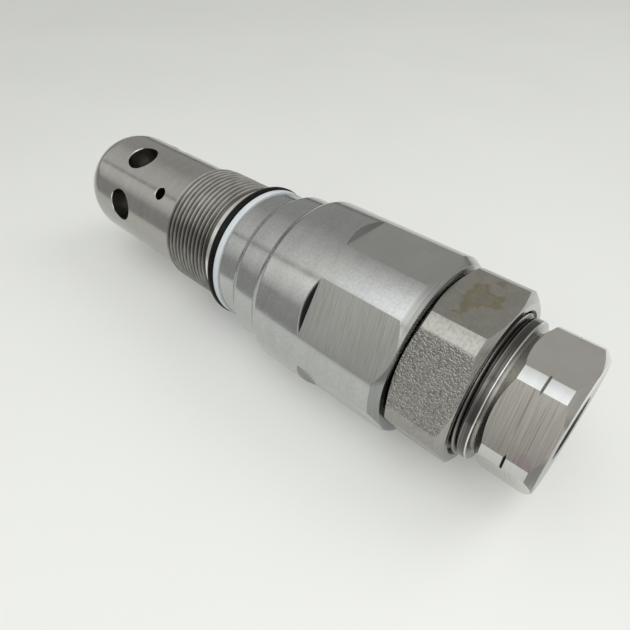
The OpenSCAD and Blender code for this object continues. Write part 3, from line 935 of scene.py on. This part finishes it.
# %% [markdown]
# ## Which face gets which finish
# A single piece carries several finishes, because the housing is turned, threaded, milled and
# bored. Each face is sorted by where it is: its distance along the axis, its radius, and how
# far its normal leans away from straight outwards. Deburred edges, the rims of the cross
# holes among them, are painted brighter than the faces they join, a painted highlight, and
# some faces get a lit or a shaded copy of a finish by the way they face: painted light and shade.

# %% Face sorting
square_on = 0.9999
facing = 0.9
sloped = 0.2
inwards = -0.2
flat_radii = (20.1, 20.9)
dome_x = -37
dome_inner_r = 7


def sort_faces(made, finishes, rule):
    """Give every face the finish that the rule names for its distance, radius and lean."""
    names = list(finishes)
    for name in names:
        made.data.materials.append(finishes[name])
    for face in made.data.polygons:
        centre = face.center
        radius = Vector((centre.y, centre.z)).length / MM
        outwards = Vector((0, centre.y, centre.z)).normalized().dot(face.normal)
        distance = distance_of(centre.x)
        face.material_index = names.index(rule(distance, radius, outwards, face.normal))


def housing_rule(distance, radius, outwards, normal):
    if outwards < inwards or (distance > screw_bore_x - 1 and radius < screw_bore_r + 0.5):
        return "bore"
    if distance < thread_end + 0.2:
        return "thread"
    if distance < seal_groove_front:
        return "relief"
    across = max(abs(normal.dot(Vector((0, sin(k * pi / 3), cos(k * pi / 3))))) for k in range(6))
    upright = across > square_on and abs(normal.x) < 0.001
    if upright and distance > flats_x and flat_radii[0] < radius < flat_radii[1]:
        return "smooth_flat" if abs(normal.z) > facing else "flat"
    if normal.x > sloped and distance < flats_x + 2:
        # Shoulders that face partly upwards get the black painted shade, and the others a plainer grey copy.
        return "shoulder" if 0.2 < normal.z < 0.5 else "light_shoulder"
    if distance > end_chamfer_x and normal.x > sloped:
        return "chamfer"
    return "body" if distance > body_x + lead_in else "land"


def sleeve_rule(distance, radius, outwards, normal):
    if radius > nose_r - 0.6 and 0.2 < outwards < 0.93 and distance > seat_x:
        return "rim"
    if main_bore_r + 0.2 < radius < nose_r - 0.1 and abs(outwards) < 0.5 and distance > seat_x + 1:
        return "drilled"
    on_dome = distance < dome_x and outwards > -0.1 and radius > dome_inner_r
    return "outside" if radius > nose_r - 0.6 or on_dome else "bore"


def nut_rule(distance, radius, outwards, normal):
    if radius < nut_bore_r + 0.7 and abs(normal.x) < facing:
        return "bore"
    if abs(normal.x) > sloped:
        return "chamfer"
    if outwards > square_on and radius > nut_r - 0.3:
        return "land"
    return "stained" if normal.z > facing else "flat"


def plug_rule(distance, radius, outwards, normal):
    if outwards < inwards or radius < port_r + 0.05:
        return "bore"
    if distance < collar_x - 0.05:
        return "thread" if distance > spigot_end - 0.4 else "spigot"
    if distance < collar_x + 0.2 or (collar_end - 0.3 < distance < neck_start and outwards > 0.3):
        return "collar_edge"
    if distance < neck_end:
        return "collar" if distance < neck_start - 0.2 else "neck"
    if abs(normal.x) > sloped:
        if abs(distance - mark_x) > 2 * mark_half_width:
            return "chamfer"
        # Painted light and shade: groove faces that face upwards take the lit copy, the rest the shaded one.
        return "painted_lit_mark" if normal.z > 0.2 else "mark"
    if outwards > 0.9997 and radius > plug_r - 0.2:
        return "land"
    return "smooth_flat" if abs(normal.z) > facing else "flat"


sort_faces(housing, {"relief": painted_highlight_steel, "land": satin_lands, "body": satin_body,
                     "thread": manifold_steel, "flat": milled_body, "smooth_flat": smooth_flat_body,
                     "shoulder": painted_shade_shoulder, "light_shoulder": light_shoulder,
                     "chamfer": end_chamfers, "bore": painted_shade_bore}, housing_rule)
sort_faces(sleeve, {"outside": ground_nose, "rim": painted_highlight_steel, "drilled": painted_shade_drilled_wall,
                    "bore": painted_shade_bore}, sleeve_rule)
sort_faces(nut, {"flat": pebbled_nut, "stained": stained_nut, "land": nut_lands, "chamfer": nut_chamfers,
                 "bore": painted_shade_bore}, nut_rule)
sort_faces(plug, {"land": bright_plug, "flat": milled_plug, "smooth_flat": lit_smooth_flat_plug,
                  "chamfer": plug_chamfers, "mark": painted_shade_mark, "painted_lit_mark": painted_lit_mark,
                  "collar": streaked_collar, "collar_edge": painted_highlight_steel, "neck": streaked_neck,
                  "thread": screw_steel, "spigot": hardened, "bore": painted_shade_bore}, plug_rule)
o_ring.data.materials.append(nitrile)
backup.data.materials.append(ptfe)
poppet.data.materials.append(hardened)

# %% [markdown]
# ## The inner parts
# The inner parts stay as the CAD drew them: they can't be seen with the valve assembled. They
# still get the right finish, because the model can be taken apart.

# %% Inner parts
inner_finish = {
    "sleeve_o_ring": nitrile, "pilot_seat_o_ring": nitrile, "piston_o_ring": nitrile,
    "adjuster_o_ring": nitrile, "sleeve_backup_ring": ptfe, "piston_backup_ring": ptfe,
    "adjuster_backup_ring": ptfe,
    "main_spring": spring_wire, "pilot_spring": spring_wire, "piston_stop_ring": spring_wire,
    "pilot_seat": hardened, "pilot_poppet": hardened, "spring_retainer": hardened, "boost_piston": hardened}
for node_name, finish in inner_finish.items():
    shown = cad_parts[node_name]
    shown.data.materials.clear()
    shown.data.materials.append(finish)

# %% [markdown]
# ## Each piece on its body
# A new piece takes the place of its CAD node and rides the body that the node belonged to, so
# the plug turns and travels, the nut turns and the poppet slides.

# %% Bodies
for made, node_name, body, slot in (
        (sleeve, "nose_sleeve", "valve_body", "ground_steel"),
        (housing, "housing", "valve_body", "turned_steel"),
        (o_ring, "housing_o_ring", "valve_body", "black_rubber"),
        (backup, "housing_backup_ring", "valve_body", "white_ptfe"),
        (nut, "lock_nut", "locking_nut", "nut_steel"),
        (plug, "adjusting_plug", "adjuster", "plug_steel"),
        (poppet, "main_poppet", "main_stage", "hardened_steel")):
    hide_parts(node_name)
    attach(made, body)

# %% [markdown]
# ## Table
# The valve lies on its round body, so the table is a plane at the body's lowest point. It is
# pale, matt and very slightly uneven in tone, as a painted board is.

# %% Table
table_half = 12.0


def pale_board(name):
    """Matt off-white paint."""
    material, tree, shader = new_finish(name, (0.71, 0.71, 0.695), 0.7, metallic=0.0)
    shader.inputs["Specular IOR Level"].default_value = 0.25
    cloud = noise(tree, (0.01, 0.01, 0.01))
    finished(tree, shader, ramp(tree, cloud, (0.3, (0.70, 0.705, 0.685)), (0.7, (0.72, 0.725, 0.705))))
    return material


table_shape = bmesh.new()
bmesh.ops.create_grid(table_shape, x_segments=1, y_segments=1, size=table_half)
bmesh.ops.translate(table_shape, verts=table_shape.verts, vec=(0, 0, cad_box[0][2]))
table = piece("table", table_shape)
table.data.materials.append(pale_board("pale_board"))

# %% [markdown]
# ## What the steel reflects
# Polished steel shows the room more than itself. Seen along the cylinder, the room is a wide
# bright ceiling, a thin dark gap in it, a lighter front wall and a dark band at the horizon.
# Both bands run the whole length of the valve as dark lines. The world is drawn the same way:
# a ramp over the angle round X for the ceiling and walls, darkened near the horizon. One
# direction in front and overhead is brighter, as under a window, and the light falls off
# round it. Behind the valve the camera sees a plain backdrop, which the steel doesn't mirror.

# %% Room
ceiling = (
    (-180, 0.36), (-90, 0.37), (-60, 0.38), (-26, 0.40), (-10, 0.52), (0, 0.57), (16, 0.62), (34, 0.64),
    (37, 0.62), (38.5, 0.26), (41.5, 0.26), (43, 0.72), (50, 0.74), (60, 0.72), (70, 0.62), (79, 0.46),
    (86, 0.40), (180, 0.36))
window_way = Vector((0.1, -0.5, 0.86)).normalized()
room_strength = 2.5
backdrop_tone = 0.7
world = bpy.data.worlds.new("room")
bpy.context.scene.world = world
world.use_nodes = True
room = world.node_tree
view_way = room.nodes.new("ShaderNodeTexCoord")
parts = room.nodes.new("ShaderNodeSeparateXYZ")
room.links.new(view_way.outputs["Generated"], parts.inputs["Vector"])


def room_math(operation, first, second=None, third=None):
    """One sum in the room's nodes."""
    made = room.nodes.new("ShaderNodeMath")
    made.operation = operation
    for socket, value in zip(made.inputs, (first, second, third)):
        if isinstance(value, bpy.types.NodeSocket):
            room.links.new(value, socket)
        elif value is not None:
            socket.default_value = value
    return made.outputs["Value"]


towards_front = room_math("MULTIPLY", parts.outputs["Y"], -1.0)
angle_round = room_math("ARCTAN2", towards_front, parts.outputs["Z"])
ramp_place = room_math("MULTIPLY_ADD", angle_round, 0.5 / pi, 0.5)
ceiling_tone = ramp(room, ramp_place, *[((angle / 180 + 1) / 2, tone) for angle, tone in ceiling])
height = room_math("MULTIPLY_ADD", parts.outputs["Z"], 0.5, 0.5)
horizon_tone = ramp(room, height, (0.50, 0.10), (0.525, 0.30), (0.56, 1.0))
room_tone = mixed(room, 1.0, ceiling_tone, horizon_tone, "MULTIPLY")
window = room.nodes.new("ShaderNodeVectorMath")
window.operation = "DOT_PRODUCT"
window.inputs[1].default_value = window_way
room.links.new(view_way.outputs["Generated"], window.inputs[0])
window_place = room_math("MULTIPLY_ADD", window.outputs["Value"], 0.5, 0.5)
window_tone = ramp(room, window_place, (0.82, 0.40), (0.86, 0.48), (0.915, 0.60),
                   (0.93, (0.71, 0.72, 0.745)), (0.96, (0.785, 0.80, 0.84)),
                   (0.975, (0.89, 0.92, 0.96)), (1.0, (0.97, 1.0, 1.0)))
room_tone = mixed(room, 1.0, room_tone, window_tone, "MULTIPLY")
tinted = mixed(room, 1.0, room_tone, (1.0, 1.0, 0.965), "MULTIPLY")
rays = room.nodes.new("ShaderNodeLightPath")
seen = mixed(room, rays.outputs["Is Camera Ray"], tinted, (backdrop_tone / room_strength,) * 3)
room.links.new(seen, room.nodes["Background"].inputs["Color"])
room.nodes["Background"].inputs["Strength"].default_value = room_strength

# %% [markdown]
# ## Lights
# The table is lit by a large soft panel from behind on the right, which lays the soft shadow
# on the near side. A small weak one, low in front of the plug, lifts the near table and
# throws no shadow. Neither panel shows in the steel, so the reflections are the room's alone.

# %% Lights
def soft_panel(name, place, aim, size, power):
    """A square soft light that the steel doesn't show."""
    data = bpy.data.lights.new(name, "AREA")
    data.size = size
    data.energy = power
    made = bpy.data.objects.new(name, data)
    made.location = place
    made.rotation_euler = (Vector(aim) - Vector(place)).to_track_quat("-Z", "Y").to_euler()
    made.visible_glossy = False
    bpy.context.scene.collection.objects.link(made)
    return made


soft_panel("back_panel", (0.45, 0.55, 0.75), (0, 0, 0), 0.6, 2.3)
fill_panel = soft_panel("fill_panel", (0.17, -0.14, 0.30), (0.12, -0.06, 0), 0.3, 0.60)
fill_panel.data.use_shadow = False

# %% [markdown]
# ## Dark card
# The lower half of each cylinder mirrors the near edge of the table, where the room is dim.
# A low grey card beside the valve stands for it. Only reflections see the card: it throws no
# shadow and the camera looks through it.

# %% Dark card
card_away = 0.066
card_top = 0.014
card_glow = (0.37, 0.37, 0.365, 1)
card_shape = bmesh.new()
bmesh.ops.create_grid(card_shape, x_segments=1, y_segments=1, size=0.5)
bmesh.ops.scale(card_shape, verts=card_shape.verts, vec=(1, (card_top - cad_box[0][2]), 1))
bmesh.ops.rotate(card_shape, verts=card_shape.verts, cent=(0, 0, 0), matrix=Matrix.Rotation(pi / 2, 3, "X"))
bmesh.ops.translate(card_shape, verts=card_shape.verts, vec=(0, -card_away, (card_top + cad_box[0][2]) / 2))
card = piece("dark_card", card_shape)
card_paint, _, card_shader = new_finish("dim_edge", (0.0, 0.0, 0.0), 1.0, metallic=0.0)
card_shader.inputs["Specular IOR Level"].default_value = 0.0
# The card glows grey: the steel shows it as a painted dim reflection of the table's near edge.
card_shader.inputs["Emission Color"].default_value = card_glow
card_shader.inputs["Emission Strength"].default_value = 1.0
card.data.materials.append(card_paint)
card.visible_camera = False
card.visible_diffuse = False
card.visible_shadow = False

# %% [markdown]
# ## Camera
# The camera looks down along the valve from the plug end, close enough for strong
# perspective: the plug is nearly twice as near as the nose. Its place and aim are in
# millimetres in the frame, and it leans by two degrees.

# %% Camera
camera_place = Vector((100.09, -78.53, 76.24)) * MM
camera_aim = Vector((40.3, -10.01, 0)) * MM
camera_roll = radians(2.26)
camera_data = bpy.data.cameras.new("camera")
camera_data.lens = 29.417
camera_data.sensor_width = 36
camera_data.shift_y = 0.004
camera_data.clip_start = 0.005
camera = bpy.data.objects.new("camera", camera_data)
bpy.context.scene.collection.objects.link(camera)
camera.location = camera_place
looking = (camera_aim - camera_place).to_track_quat("-Z", "Y")
camera.rotation_euler = (looking @ Quaternion((0, 0, 1), camera_roll)).to_euler()
bpy.context.scene.camera = camera
bpy.context.scene.view_settings.view_transform = "Standard"
